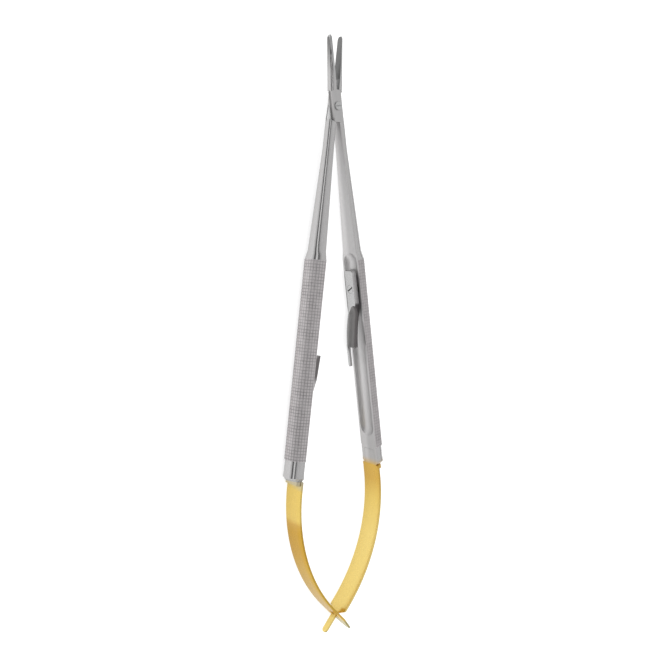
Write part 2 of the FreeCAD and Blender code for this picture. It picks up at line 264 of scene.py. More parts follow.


# %% [markdown]
# ## Polished and ground steel
# The shanks are polished with the belt run along them. The flat inner faces and their channel
# are ground the same way and left duller. Both get a noise that is stretched along the arm: it
# draws faint streaks, where an even noise would look cast. Behind the grips the gilt of the
# springs has run over the steel. The other shades are painted light and shade, read off the
# photograph: a darker tip on one jaw, and a channel that is darker towards its rear, with the
# lever's shadow painted beside the lever, and paler low down.

# %% Polished and ground steel
DEEP_GOLD = (0.62, 0.395, 0.087)
PLATED_END = {RIGHT: (-36.1, -39.4), LEFT: (-38.1, -39.5)}
JAW_TIP = (78, 90)
TIP_PAINTED_SHADE = {RIGHT: 0.36, LEFT: 1.0}
CHANNEL_REAR = (-12, -31)
REAR_PAINTED_SHADES = (1.0, 0.84)
CHANNEL_HEIGHT = (2.4, 4.0)
WALL_PAINTED_LIGHT_AND_SHADE = (1.25, 0.95)
LEVER_FRONT = (22.5, 20.5)
LEVER_REAR = (8.5, 11)
LEVER_PAINTED_SHADOW = 0.45


def streaked(tree, side, fineness, dark, pale):
    """Streaks along one arm, and the steel's colour that goes from dark to pale with them."""
    along = stretched(tree, fineness, -side * OPEN_ANGLE)
    streaks = noise(tree, along, 1.0, detail=3.0, rough=0.6)
    return streaks, mixed(tree, grain_share(tree, streaks), (*dark, 1), (*pale, 1))


def plate_end(tree, shader, steel, side):
    """Gives an arm its steel colour, which turns to gilt behind the grip."""
    plated = along_axis(tree, "Y", PLATED_END[side], smooth=True)
    colour = mixed(tree, plated, steel, (*DEEP_GOLD, 1))
    tree.links.new(colour, shader.inputs["Base Color"])


def polished_steel(name, side):
    """Belt-polished steel, with streaks along one arm and a gilt end at the spring."""
    material, tree, shader = metal(name)
    streaks, steel = streaked(tree, side, (9000, 260, 9000),
                              dark=(0.45, 0.44, 0.44), pale=(0.53, 0.525, 0.525))
    # Painted shade: the tip of one jaw is darker.
    tip = along_axis(tree, "Y", JAW_TIP, (1.0, TIP_PAINTED_SHADE[side]), smooth=True)
    plate_end(tree, shader, darkened(tree, steel, tip), side)
    roughen(tree, shader, streaks, low=0.1, high=0.17)
    relief(tree, shader, streaks, strength=0.05)
    return material


def ground_steel(name, side):
    """The flat inner faces and their channel: ground, with a soft blurred shine."""
    material, tree, shader = metal(name)
    streaks, steel = streaked(tree, side, (6000, 200, 6000),
                              dark=(0.47, 0.463, 0.463), pale=(0.54, 0.532, 0.532))
    # Painted shade towards the channel's rear and high on its walls, painted light low on them.
    shade = calc(tree, "MULTIPLY", along_axis(tree, "Y", CHANNEL_REAR, REAR_PAINTED_SHADES),
                 along_axis(tree, "Z", CHANNEL_HEIGHT, WALL_PAINTED_LIGHT_AND_SHADE))
    # Painted shadow of the lever on the channel beside it.
    if side == RIGHT:
        beside = calc(tree, "MULTIPLY", along_axis(tree, "Y", LEVER_FRONT),
                      along_axis(tree, "Y", LEVER_REAR))
        shade = calc(tree, "MULTIPLY", shade, ramp(tree, beside, 0.0, 1.0, 1.0, LEVER_PAINTED_SHADOW))
    plate_end(tree, shader, darkened(tree, steel, shade), side)
    roughen(tree, shader, streaks, low=0.32, high=0.42)
    return material


STEEL = {side: polished_steel(SIDE_NAME[side] + "_polished_steel", side)
         for side in (RIGHT, LEFT)}
GROUND = {side: ground_steel(SIDE_NAME[side] + "_ground_steel", side)
          for side in (RIGHT, LEFT)}
print("polished:", STEEL[RIGHT].name, STEEL[LEFT].name)

# %% [markdown]
# ## Knurled steel
# The grips are blasted and knurled, and the grooves are painted darker, for dirt and shade. The
# colour follows an attribute of the knurled mesh that says how deep a point lies, so it can't
# slide off the grooves as a separate pattern could. Patches of wear break it up. The underside
# is darker, and the two grips get different levels: both painted light and shade.

# %% Knurled steel
KNURL_TINT = (1.0, 0.955, 0.965)
UNDERSIDE = (1.0, 4.0)
UNDERSIDE_PAINTED_SHADES = (0.82, 1.0)
WORN_PATCHES = (0.35, 0.65)
WEAR_SHARES = (0.6, 1.0)


def knurled_steel(name, pad_level, groove_level):
    """Blasted steel, darker in the grooves (dirt and painted shade) and towards the underside
    (painted shade).
    """
    material, tree, shader = metal(name)
    groove = add_node(tree, "ShaderNodeAttribute", attribute_name="groove")
    patches = noise(tree, stretched(tree), 260, detail=3.0, rough=0.6)
    wear = ramp(tree, patches, *WORN_PATCHES, *WEAR_SHARES)
    shade = calc(tree, "MULTIPLY", groove.outputs["Fac"], wear)
    pad, cut = ((*(level * part for part in KNURL_TINT), 1)
                for level in (pad_level, groove_level))
    # Painted shade: the underside of the grip is darker.
    underside = along_axis(tree, "Z", UNDERSIDE, UNDERSIDE_PAINTED_SHADES)
    colour = darkened(tree, mixed(tree, shade, pad, cut), underside)
    tree.links.new(colour, shader.inputs["Base Color"])
    roughen(tree, shader, patches, low=0.48, high=0.62)
    return material


# The two grips get different pad and groove levels: painted light and shade for how each one is
# lit.
KNURLED = {
    RIGHT: knurled_steel("right_knurled_steel", pad_level=0.53, groove_level=0.36),
    LEFT: knurled_steel("left_knurled_steel", pad_level=0.59, groove_level=0.26),
}
print("knurled:", KNURLED[RIGHT].name, KNURLED[LEFT].name)

# %% [markdown]
# ## Latch, screws and hard metal
# The lever and the screws are bright with a fine grain. The lever's scoop darkens towards its
# upper edge with painted shade, and the lever's upper side gets painted shade where the scoop
# runs beside it. The hook is darkened by painted shade towards +Y and stays bright along its
# ramp. The jaw inserts are sintered hard metal: dull, dark and fine.


# %% Grained metals
def grained(name, scale, rough, dark, pale, roughness, bump):
    """A metal with a fine grain in its colour, its roughness and its surface."""
    material, tree, shader = metal(name)
    grain = noise(tree, stretched(tree), scale, detail=3.0, rough=rough)
    tint(tree, shader, grain_share(tree, grain), dark, pale)
    roughen(tree, shader, grain, *roughness)
    relief(tree, shader, grain, strength=bump)
    return material


BRIGHT = grained("bright_steel", 5200, 0.65, dark=(0.44, 0.44, 0.44), pale=(0.56, 0.56, 0.56),
                 roughness=(0.2, 0.32), bump=0.12)
HARD = grained("hard_metal", 4200, 0.7, dark=(0.18, 0.18, 0.18), pale=(0.24, 0.24, 0.24),
               roughness=(0.36, 0.5), bump=0.15)
print("grained:", BRIGHT.name, HARD.name)

# %% Steel with painted light and shade
SCOOP_HEIGHT = (2.2, 4.6)
LEVER_BODY = (12.2, 13.2)
LEVER_TAIL = (-0.9, -0.3)
TAIL_SHARE = 0.55
HOOK_RAMP = (-10.5, -8.0)
LAP_DARK = 0.7 * MM
LAP_SHADE_FADED = 1.3 * MM


def shaded_scoop_steel():
    """The lever's scoop, with painted shade that is darkest along its upper edge."""
    material, tree, shader = metal("shaded_scoop_steel", roughness=0.4)
    across = along_axis(tree, "Z", SCOOP_HEIGHT)
    tint(tree, shader, across, low=(0.52, 0.515, 0.51), high=(0.12, 0.112, 0.112))
    return material


def lever_side():
    """The lever's upper side: satin, with painted shade as dark as the scoop where that runs
    beside it.
    """
    material, tree, shader = metal("lever_side", roughness=0.5, metallic=0.4)
    body = along_axis(tree, "Y", LEVER_BODY, smooth=True)
    tail = along_axis(tree, "Y", LEVER_TAIL, (TAIL_SHARE, 0.0), smooth=True)
    satin = calc(tree, "MAXIMUM", body, tail)
    tint(tree, shader, satin, low=(0.09, 0.085, 0.085), high=(0.52, 0.51, 0.51))
    return material


def lap_side():
    """The lap's walls, in painted shade: darkest where they meet the other arm, lighter towards
    their edge.
    """
    material, tree, shader = metal("lap_side", roughness=0.35)
    z = split_vector(tree, stretched(tree))["Z"]
    height = calc(tree, "ABSOLUTE", calc(tree, "SUBTRACT", z, PIVOT.z))
    edge = ramp(tree, height, LAP_DARK, LAP_SHADE_FADED, 0.0, 1.0, smooth=True)
    tint(tree, shader, edge, low=(0.21, 0.205, 0.205), high=(0.42, 0.41, 0.41))
    return material


def hook_steel():
    """The hook: painted shade makes it dark towards +Y, and it stays bright along its ramp."""
    material, tree, shader = metal("hook_steel", roughness=0.3)
    hook_shade = along_axis(tree, "Y", HOOK_RAMP, smooth=True)
    tint(tree, shader, hook_shade, low=(0.5, 0.49, 0.49), high=(0.16, 0.15, 0.15))
    return material


SHADED_SCOOP = shaded_scoop_steel()
LEVER_SIDE = lever_side()
LAP_SIDE = lap_side()
HOOK = hook_steel()
print("shaded by place:", SHADED_SCOOP.name, LEVER_SIDE.name, LAP_SIDE.name, HOOK.name)


# %% Plain steels
def plain_steel(name, level, roughness, metallic=1.0):
    """Steel of one even shade, for a face that shows only a few pixels."""
    return metal(name, (level, level, level), roughness, metallic)[0]


RECESS = plain_steel("shaded_recess", 0.05, 0.6)
SCREW_SLOT = plain_steel("screw_slot", 0.45, 0.5)
# Painted light: the lap's floor is pale and partly matte, so it stays light under the plate
# above.
LAP_FACE_PAINTED_LIGHT = plain_steel("lap_face_painted_light", 0.85, 0.4, metallic=0.3)
# Painted shade: a darker flank at the root of each jaw.
JAW_ROOT_PAINTED_SHADE = plain_steel("jaw_root_painted_shade", 0.37, 0.35)
FERRULE_END = plain_steel("ferrule_end", 0.5, 0.45, metallic=0.4)
INSERT_SIDE = plain_steel("insert_side", 0.5, 0.35)
print("materials so far:", len(bpy.data.materials))

# %% [markdown]
# ## Gilt spring steel
# The leaves are plated in warm yellow gilt. Its redder, paler and darker stretches are painted
# light and shade: on the right leaf a pale far end and a deep root, on the left one a darker
# stretch, an orange band at the crossing and an olive tail. On the left the gilt also fades into
# steel just before the grip. One ramp of colours along +Y has these places as its marks, and a
# soft noise keeps the borders between them from being straight lines. Faint streaks in the
# roughness follow the leaf.

# %% Gilt material
GOLD = (0.745, 0.545, 0.15)
PALE_GOLD = (0.81, 0.625, 0.21)
SHADED_GOLD = (0.57, 0.34, 0.05)
CLOUD_REACH = 3 * MM


def gilt(name, marks):
    """Gilt steel whose colour changes at marks along Y: (y in millimetres, colour)."""
    material, tree, shader = metal(name)
    where = stretched(tree)
    clouds = noise(tree, where, 140, detail=2.0, rough=0.5)
    shifted = calc(tree, "MULTIPLY_ADD", clouds, CLOUD_REACH, split_vector(tree, where)["Y"])
    first, last = marks[0][0] * MM, marks[-1][0] * MM
    mean_shift = CLOUD_REACH / 2
    share = ramp(tree, shifted, first + mean_shift, last + mean_shift, 0.0, 1.0)
    steps = [((y * MM - first) / (last - first), colour) for y, colour in marks]
    tree.links.new(colour_steps(tree, share, steps), shader.inputs["Base Color"])
    streaks = noise(tree, stretched(tree, (2500, 300, 2500)), 1.0, detail=2.0, rough=0.5)
    roughen(tree, shader, streaks, low=0.26, high=0.34)
    return material


# Painted light and shade: the marks make stretches of each leaf paler, redder or darker.
GILT = {
    RIGHT: gilt("right_gilt", [
        (-92, PALE_GOLD), (-60, PALE_GOLD), (-50, GOLD), (-43, DEEP_GOLD),
        (-38, DEEP_GOLD)]),
    LEFT: gilt("left_gilt", [
        (-92, (0.44, 0.39, 0.19)), (-86, (0.5, 0.42, 0.16)), (-84.8, (0.75, 0.5, 0.1)),
        (-83.4, (0.7, 0.45, 0.1)), (-81, (0.6, 0.39, 0.06)), (-67, (0.6, 0.38, 0.06)),
        (-61, SHADED_GOLD), (-55, SHADED_GOLD), (-52.2, (0.6, 0.375, 0.085)), (-50.4, GOLD),
        (-41, GOLD), (-39.5, (0.57, 0.48, 0.26)), (-38, (0.5, 0.46, 0.37))]),
}
print("gilt materials:", len(GILT))

# %% [markdown]
# ## Finishing a CAD solid
# A solid from CAD has knife-sharp edges, and real ones catch light on a small radius. Each
# visible steel piece is a copy of its CAD mesh: its doubled points are merged, its flat faces
# are put back together, and a Bevel modifier softens the edges. The copy then replaces the
# node in the picture, while the CAD node stays in the physics.

# %% Copying a node
MERGE_DISTANCE = 0.002 * MM
FLAT_ANGLE = math.radians(0.6)


def merged_copy(node, unwanted=None):
    """A CAD node's mesh as a bmesh, merged, without the faces that unwanted picks."""
    work = bmesh.new()
    work.from_mesh(frame["nodes"][node].data)
    bmesh.ops.remove_doubles(work, verts=work.verts, dist=MERGE_DISTANCE)
    if unwanted:
        doomed = [face for face in work.faces if unwanted(face)]
        bmesh.ops.delete(work, geom=doomed, context="FACES")
    bmesh.ops.dissolve_limit(
        work, angle_limit=FLAT_ANGLE, verts=work.verts, edges=work.edges)
    return work


def new_object(name, mesh, *materials):
    """A linked object at the origin with its materials."""
    mesh.name = name
    indices = [face.material_index for face in mesh.polygons]
    mesh.materials.clear()
    for material in materials:
        mesh.materials.append(material)
    mesh.polygons.foreach_set("material_index", indices)
    made = bpy.data.objects.new(name, mesh)
    bpy.context.scene.collection.objects.link(made)
    return made


def plain_mesh(obj):
    """The object's mesh with its modifiers worked out."""
    bpy.context.view_layer.update()
    evaluated = obj.evaluated_get(bpy.context.evaluated_depsgraph_get())
    mesh = bpy.data.meshes.new_from_object(evaluated)
    bpy.data.objects.remove(obj)
    return mesh


def to_mesh(work, name):
    """A bmesh turned into a mesh with no normals of its own."""
    mesh = bpy.data.meshes.new(name)
    work.to_mesh(mesh)
    work.free()
    stored = mesh.attributes.get("custom_normal")
    if stored:
        mesh.attributes.remove(stored)
    return mesh


# %% Softening its edges
WIDE_EDGE = 4.0
EDGE_SEGMENTS = 3
SHARP_ANGLE = math.radians(32)


def softened(work, name, *materials, edge, wide=None):
    """A mesh whose sharp edges have a small round. The edges that wide picks get more."""
    weight = work.edges.layers.float.new("bevel_weight_edge")
    for face in work.faces:
        face.smooth = True
    for line in work.edges:
        is_shared = len(line.link_faces) == 2
        is_sharp = is_shared and line.calc_face_angle(0) >= SHARP_ANGLE
        line.smooth = is_shared and not is_sharp
        if is_sharp:
            line[weight] = 1.0 if wide and wide(line) else 1.0 / WIDE_EDGE
    rough = new_object(name + "_rough", to_mesh(work, name), *materials)
    bevel = rough.modifiers.new("edge", "BEVEL")
    bevel.width = edge * WIDE_EDGE
    bevel.segments = EDGE_SEGMENTS
    bevel.limit_method = "WEIGHT"
    bevel.harden_normals = True
    return plain_mesh(rough)


def painted(work, choose):
    """Gives every face the material index that choose finds for it."""
    for face in work.faces:
        face.material_index = choose(face)
    return work


def finished_copy(node, body, slot, *materials, edge, shape=None, choose=None):
    """Replaces a CAD node by its softened copy. Edge is the radius of its edges."""
    work = merged_copy(node)
    if shape:
        shape(work)
    if choose:
        painted(work, choose)
    mesh = softened(work, node, *materials, edge=edge)
    made = new_object("fine_" + node, mesh, *materials)
    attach(made, body)
    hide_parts(node)
    print(made.name, len(mesh.polygons), "faces")


# %% [markdown]
# ## Latch, hook and screws
# These small solids have the right shape as they are, so they only get softened edges and a
# finish for each face. A rule finds a face's finish from where it lies. The faces of the
# lever's scoop are the ones that lie on the cylinder, or on the ball at its end, that CAD cut
# the scoop with, so that line is worked out first.

# %% The scoop's line
SCOOP_RADIUS = 3.6
SCOOP_TOUCH = 0.06
ARM_START = Vector((-1.2, -60.3, 0))
ARM_END = Vector((-3.3, -71.6, 0))
SCOOP_LOW = Vector((0, 0, -1.5))
SCOOP_HIGH = Vector((1.1, 0, 1.75))
SCOOP_LIFT = 0.3
SCOOP_DELAY = 0.7

scoop_way = (ARM_END - ARM_START).normalized()
scoop_chord = SCOOP_HIGH - SCOOP_LOW
scoop_out = Vector((-scoop_chord.z, 0, scoop_chord.x)).normalized()
scoop_rise = math.sqrt(SCOOP_RADIUS ** 2 - (scoop_chord.length / 2) ** 2)
scoop_start = (ARM_START + (SCOOP_LOW + SCOOP_HIGH) / 2 + scoop_out * scoop_rise
               + Vector((-SCOOP_LIFT, 0, 0)) + scoop_way * SCOOP_DELAY)
print("scoop starts at", [round(c, 2) for c in scoop_start], "mm in the drawing")

# %% Rules for the faces
FACES_UP = 0.6
LATCH_SCREW_Y = -53.8
LATCH_SCREW_TOP = -1.17
LATCH_SLOT_REACH = 1.15
PIVOT_SCREW_RIM = 0.02 * MM
FACES_JAW = 0.7


def lever_part(face):
    """1 for a face of the lever's scoop, 2 for its upper side, else 0."""
    to_drawing = arm_place(RIGHT).inverted()
    for corner in face.verts:
        offset = to_drawing @ corner.co / MM - scoop_start
        run = max(0, offset.dot(scoop_way))
        if abs((offset - scoop_way * run).length - SCOOP_RADIUS) > SCOOP_TOUCH:
            return 2 if face.normal.z > FACES_UP else 0
    return 1


def latch_screw_part(face):
    """1 for the walls and the floor of the latch screw's slot, else 0."""
    middle = arm_place(RIGHT).inverted() @ face.calc_center_median() / MM
    off_axis = math.hypot(middle.y - LATCH_SCREW_Y, middle.z)
    return 1 if middle.x > LATCH_SCREW_TOP and off_axis < LATCH_SLOT_REACH else 0


def pivot_screw_part(face):
    """0 for the top of the pivot screw's head, 1 for its rim and its slot."""
    top = max(corner.co.z for corner in frame["nodes"]["pivot_screw"].data.vertices)
    return 0 if face.calc_center_median().z > top - PIVOT_SCREW_RIM else 1


def insert_part(side):
    """A rule: 0 for a jaw insert's gripping face, 1 for its sides."""
    to_drawing = arm_place(side).inverted().to_3x3()
    return lambda face: 0 if (to_drawing @ face.normal).x > FACES_JAW else 1


# %% Small pieces
finished_copy("latch_lever", "latch", "bright_steel", BRIGHT, SHADED_SCOOP, LEVER_SIDE,
              edge=0.09 * MM, choose=lever_part)
finished_copy("latch_screw", "right_side", "bright_steel", BRIGHT, RECESS,
              edge=0.03 * MM, choose=latch_screw_part)
finished_copy("catch_hook", "left_side", "bright_steel", HOOK, edge=0.09 * MM)
finished_copy("pivot_screw", "left_side", "bright_steel", BRIGHT, SCREW_SLOT,
              edge=0.04 * MM, choose=pivot_screw_part)

# %% [markdown]
# ## Knurling
# A knurling wheel rolls a square grid of pads into the round side of the grip. It could be a
# bump map, but the grip's outline would stay smooth. Here Geometry Nodes bend one fine grid
# round the grip and sink its points along the grid lines: V-grooves with pads between them.
# Along the border the points stay at full height, so the skin closes on the steel around it.

# %% The grip's sizes, and the tree's inputs
GRIP_RADIUS = 3.72 * MM
AXIS_OFFSET = 0.7 * MM
KNURL_START = 44.9 * MM
KNURL_LENGTH = 59.0 * MM
ARC = 2 * (math.pi - math.acos(AXIS_OFFSET / GRIP_RADIUS))
POINTS_PER_CELL = 6.0
BORDER_WIDTH = 0.1
KNURL_INPUTS = [
    ("Rows", "NodeSocketInt", 65),
    ("Columns", "NodeSocketInt", 15),
    ("Groove", "NodeSocketFloat", 0.2),
    ("Depth", "NodeSocketFloat", 0.1 * MM),
    ("Start", "NodeSocketFloat", KNURL_START),
    ("Length", "NodeSocketFloat", KNURL_LENGTH),
    ("Material", "NodeSocketMaterial", None),
    ("Radius", "NodeSocketFloat", GRIP_RADIUS),
    ("Axis offset", "NodeSocketFloat", AXIS_OFFSET),
    ("Arc", "NodeSocketFloat", ARC),
]


def new_tree(name, inputs):
    """A geometry tree with named inputs, and its group input node."""
    tree = bpy.data.node_groups.new(name, "GeometryNodeTree")
    for label, kind, value in inputs:
        socket = tree.interface.new_socket(name=label, in_out="INPUT", socket_type=kind)
        if value is not None:
            socket.default_value = value
    tree.interface.new_socket(
        name="Geometry", in_out="OUTPUT", socket_type="NodeSocketGeometry")
    return tree, add_node(tree, "NodeGroupInput")


print("knurled skin reaches", round(math.degrees(ARC)), "degrees round the grip")


# %% A tree that sinks grooves into a grid
def pad_height(tree, share, count, width):
    """0 in the grooves of one direction and 1 on the pads between them."""
    cell = calc(tree, "MULTIPLY_ADD", share, count, 0.5)
    from_groove = calc(tree, "PINGPONG", cell, 0.5)
    return ramp(tree, from_groove, 0.0, width, 0.0, 1.0, smooth=True)


def border(tree, share, count):
    """1 on a border of the grid and 0 a tenth of a cell inside it."""
    other = calc(tree, "SUBTRACT", 1.0, share)
    distance = calc(tree, "MULTIPLY", calc(tree, "MINIMUM", share, other), count)
    return ramp(tree, distance, 0.0, BORDER_WIDTH, 1.0, 0.0)


def tooled_grid(tree, given):
    """A unit grid, its two shares from 0 to 1, and the height of its pads."""
    rows, columns, groove = (given.outputs[name] for name in ("Rows", "Columns", "Groove"))
    grid = add_node(tree, "GeometryNodeMeshGrid", (
        ("Vertices X", calc(tree, "MULTIPLY_ADD", rows, POINTS_PER_CELL, 1.0)),
        ("Vertices Y", calc(tree, "MULTIPLY_ADD", columns, POINTS_PER_CELL, 1.0))))
    place = split_vector(tree, add_node(tree, "GeometryNodeInputPosition").outputs[0])
    along = calc(tree, "ADD", place["X"], 0.5)
    around = calc(tree, "ADD", place["Y"], 0.5)
    pads = calc(tree, "MINIMUM", pad_height(tree, along, rows, groove),
                pad_height(tree, around, columns, groove))
    rim = calc(tree, "MAXIMUM", border(tree, along, rows), border(tree, around, columns))
    return grid.outputs["Mesh"], along, around, calc(tree, "MAXIMUM", pads, rim)


# %% A tree that wraps the grid round a grip
def finish_tree(tree, given, geometry, place, height):
    """Keeps the groove depth as an attribute, then moves the points and sets the material."""
    depth = calc(tree, "SUBTRACT", 1.0, height)
    keep = add_node(tree, "GeometryNodeStoreNamedAttribute", (
        ("Name", "groove"), ("Geometry", geometry), ("Value", depth)),
        data_type="FLOAT", domain="POINT")
    move = add_node(tree, "GeometryNodeSetPosition", (
        ("Geometry", keep.outputs[0]), ("Position", place)))
    real = add_node(tree, "GeometryNodeRealizeInstances", [(0, move.outputs[0])])
    paint = add_node(tree, "GeometryNodeSetMaterial", (
        ("Geometry", real.outputs[0]), ("Material", given.outputs["Material"])))
    add_node(tree, "NodeGroupOutput", [(0, paint.outputs[0])])


def knurl_tree():
    """A knurled skin round an arm's grip, in the arm's drawing."""
    tree, given = new_tree("knurling", KNURL_INPUTS)
    size = given.outputs
    geometry, along, around, height = tooled_grid(tree, given)
    sunk = calc(tree, "MULTIPLY", calc(tree, "SUBTRACT", 1.0, height), size["Depth"])
    radius = calc(tree, "SUBTRACT", size["Radius"], sunk)
    angle = calc(tree, "MULTIPLY", calc(tree, "SUBTRACT", around, 0.5), size["Arc"])
    x = calc(tree, "MULTIPLY_ADD", radius, calc(tree, "COSINE", angle), size["Axis offset"])
    z = calc(tree, "MULTIPLY", radius, calc(tree, "SINE", angle))
    reach = calc(tree, "MULTIPLY_ADD", along, size["Length"], size["Start"])
    place = joined_vector(tree, x, calc(tree, "MULTIPLY", reach, -1.0), z)
    finish_tree(tree, given, geometry, place, height)
    return tree


# %% Growing a mesh from a tree
def grown(tree, **inputs):
    """The mesh that a geometry tree makes with the given inputs."""
    seed = new_object("seed", bpy.data.meshes.new("seed"))
    modifier = seed.modifiers.new("grow", "NODES")
    modifier.node_group = tree
    for item in tree.interface.items_tree:
        if item.in_out == "INPUT" and item.name in inputs:
            modifier[item.identifier] = inputs[item.name]
    mesh = plain_mesh(seed)
    # Set Material puts its slot after an empty one: the arm gives the only slot that counts.
    mesh.polygons.foreach_set("material_index", [0] * len(mesh.polygons))
    return mesh


KNURL_TREE = knurl_tree()
print("knurling tree:", len(KNURL_TREE.nodes), "nodes")

# %% [markdown]
# ## The arms
# An arm is its CAD copy without the smooth skin of its grip, with the knurled skin in its
# place. The faces of the smooth skin are found by measuring: they all lie on the grip's
# cylinder, between the two ends of the knurling. What remains is painted by a rule, because
# one forging shows several finishes: polished outside, ground inside, and others at the lap.
# The lap's floor gets painted light, and the lap's walls and the jaws' roots painted shade.

# %% The grip's skin
TOUCH = 0.03 * MM


def on_grip(side):
    """A test that picks the faces of an arm's smooth grip."""
    to_drawing = arm_place(side).inverted()

    def test(face):
        for corner in face.verts:
            p = to_drawing @ corner.co
            off = abs(math.hypot(p.x - AXIS_OFFSET, p.z) - GRIP_RADIUS)
            inside = -TOUCH < -p.y - KNURL_START < KNURL_LENGTH + TOUCH
            if off > TOUCH or not inside:
                return False
        return True

    return test


def joined(name, parts, *materials):
    """Several meshes in one. Each comes with a number that is added to its indices."""
    work = bmesh.new()
    for mesh, shift in parts:
        before = len(work.faces)
        work.from_mesh(mesh)
        work.faces.ensure_lookup_table()
        for face in work.faces[before:]:
            face.material_index += shift
    mesh = bpy.data.meshes.new(name)
    work.to_mesh(mesh)
    work.free()
    return new_object(name, mesh, *materials)


def faced_outwards(mesh, centre_line):
    """Turns a skin's faces away from a line."""
    work = bmesh.new()
    work.from_mesh(mesh)
    work.faces.ensure_lookup_table()
    work.normal_update()
    face = work.faces[len(work.faces) // 2]
    if face.normal.dot(face.calc_center_median() - centre_line(face)) < 0:
        bmesh.ops.reverse_faces(work, faces=work.faces)
    for face in work.faces:
        face.smooth = True
    work.to_mesh(mesh)
    work.free()
    return mesh


def grip_axis(face):
    """The point of the grip's axis beside a face, in the drawing."""
    return Vector((AXIS_OFFSET, face.calc_center_median().y, 0))


# %% Which finish a face of an arm has
POLISHED, GROUND_FLAT, KNURLED_SKIN, LAP_FLAT, FERRULE, LAP_WALL, ROOT_SIDE = range(7)
SQUARE_ON = 0.9
TO_PIVOT = 0.8
BACKWARDS = 0.3
INWARDS = 0.25
LAP_RADIUS = 4.8 * MM
LAP_LEVEL = 0.1 * MM
LAP_WALL_X = 1.9 * MM
ROOT_FRONT = 8 * MM
FERRULE_BACK = -109.2 * MM
GROUND_START = -6 * MM


def arm_part(side):
    """A rule that finds a face's finish from its place and its normal in the drawing."""
    to_drawing = arm_place(side).inverted()

    def choose(face):
        middle = to_drawing @ face.calc_center_median()
        normal = to_drawing.to_3x3() @ face.normal
        faces_in, faces_out = normal.x < -SQUARE_ON, normal.x > SQUARE_ON
        if math.hypot(middle.x, middle.y) < LAP_RADIUS:
            is_flat = abs(normal.z) > SQUARE_ON
            to_pivot = Vector((-middle.x, -middle.y, 0)).normalized()
            if is_flat and abs(middle.z) < LAP_LEVEL:
                return LAP_FLAT
            if middle.z > 0 and (faces_in or faces_out and middle.x > LAP_WALL_X):
                return LAP_WALL
            return GROUND_FLAT if is_flat or normal.dot(to_pivot) > TO_PIVOT else POLISHED
        if faces_out and LAP_RADIUS < middle.y < ROOT_FRONT:
            return ROOT_SIDE
        if side == LEFT and middle.y < FERRULE_BACK and normal.y < -BACKWARDS:
            return FERRULE
        is_inner = normal.x < -INWARDS and middle.y < GROUND_START
        return GROUND_FLAT if is_inner else POLISHED

    return choose


def beside_channel(edge):
    """True for an edge between two ground faces: the channel's rim."""
    return all(face.material_index == GROUND_FLAT for face in edge.link_faces)


# %% Arms with knurled grips
for side in (RIGHT, LEFT):
    node = SIDE_NAME[side] + "_arm"
    finish = (STEEL[side], GROUND[side], KNURLED[side], LAP_FACE_PAINTED_LIGHT, FERRULE_END,
              LAP_SIDE, JAW_ROOT_PAINTED_SHADE)
    work = painted(merged_copy(node, on_grip(side)), arm_part(side))
    steel = softened(work, node, *finish, edge=0.08 * MM, wide=beside_channel)
    skin = faced_outwards(grown(KNURL_TREE, Material=KNURLED[side]), grip_axis)
    skin.transform(arm_place(side))
    arm = joined("fine_" + node, [(steel, 0), (skin, KNURLED_SKIN)], *finish)
    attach(arm, BODY[side])
    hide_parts(node)
    print(arm.name, len(arm.data.polygons), "faces")

# %% [markdown]
# ## Jaw inserts
# The jaw faces are hard metal, brazed in, with a grid of small teeth that holds the needle.
# Teeth could be put on the face, but shut jaws meet, so they are cut into it instead: the face
# is sliced along and across every half tooth, and each point that isn't the peak of a tooth
# sinks. The rim keeps its height, because it is the edge that the jaws show. The whole face
# first sinks by a hundredth of a millimetre, so that the shut jaws don't run into each other.

# %% Teeth
TOOTH_PITCH = 0.4 * MM
TOOTH_DEPTH = 0.05 * MM
SHUT_GAP = 0.01 * MM
SAME_WAY = 0.99
ON_PLANE = 0.0001 * MM


def sliced(work, picked, middle, way):
    """Cuts the picked faces by planes half a tooth apart. Works on the mesh in place."""
    half = TOOTH_PITCH / 2
    reach = [(corner.co - middle).dot(way) for face in work.faces if picked(face)
             for corner in face.verts]
    for step in range(math.ceil(min(reach) / half), math.floor(max(reach) / half) + 1):
        faces = [face for face in work.faces if picked(face)]
        parts = {part for face in faces for part in (*face.edges, *face.verts)}
        bmesh.ops.bisect_plane(work, geom=[*faces, *parts], dist=ON_PLANE,
                               plane_co=middle + way * half * step, plane_no=way)


def toothed(side):
    """A rule that cuts teeth into a jaw insert's gripping face."""
    is_side = insert_part(side)

    def cut(work):
        work.normal_update()
        grip = max((face for face in work.faces if not is_side(face)),
                   key=lambda face: face.calc_area())
        normal = grip.normal.copy()
        middle = grip.calc_center_median()
        along = normal.cross(Vector((0, 0, 1))).normalized()
        across = along.cross(normal)

        def on_grip_face(face):
            return face.normal.dot(normal) > SAME_WAY

        for way in (along, across):
            sliced(work, on_grip_face, middle, way)
        for vertex in {v for f in work.faces if on_grip_face(f) for v in f.verts}:
            vertex.co -= normal * SHUT_GAP
        inner = [v for v in work.verts if all(on_grip_face(f) for f in v.link_faces)]
        rim = [v.co.copy() for v in set(work.verts) - set(inner)]
        for vertex in inner:
            steps = [round((vertex.co - middle).dot(way) / (TOOTH_PITCH / 2))
                     for way in (along, across)]
            if steps[0] % 2 and steps[1] % 2:
                continue
            nearest = min((vertex.co - point).length for point in rim)
            share = min(1, nearest / (TOOTH_PITCH / 2))
            vertex.co -= normal * TOOTH_DEPTH * share
        print("teeth cut into", len(inner), "points")

    return cut


# %% Inserts
for side in (RIGHT, LEFT):
    finished_copy(SIDE_NAME[side] + "_arm_insert", BODY[side], "hard_metal", HARD, INSERT_SIDE,
                  edge=0.05 * MM, shape=toothed(side), choose=insert_part(side))

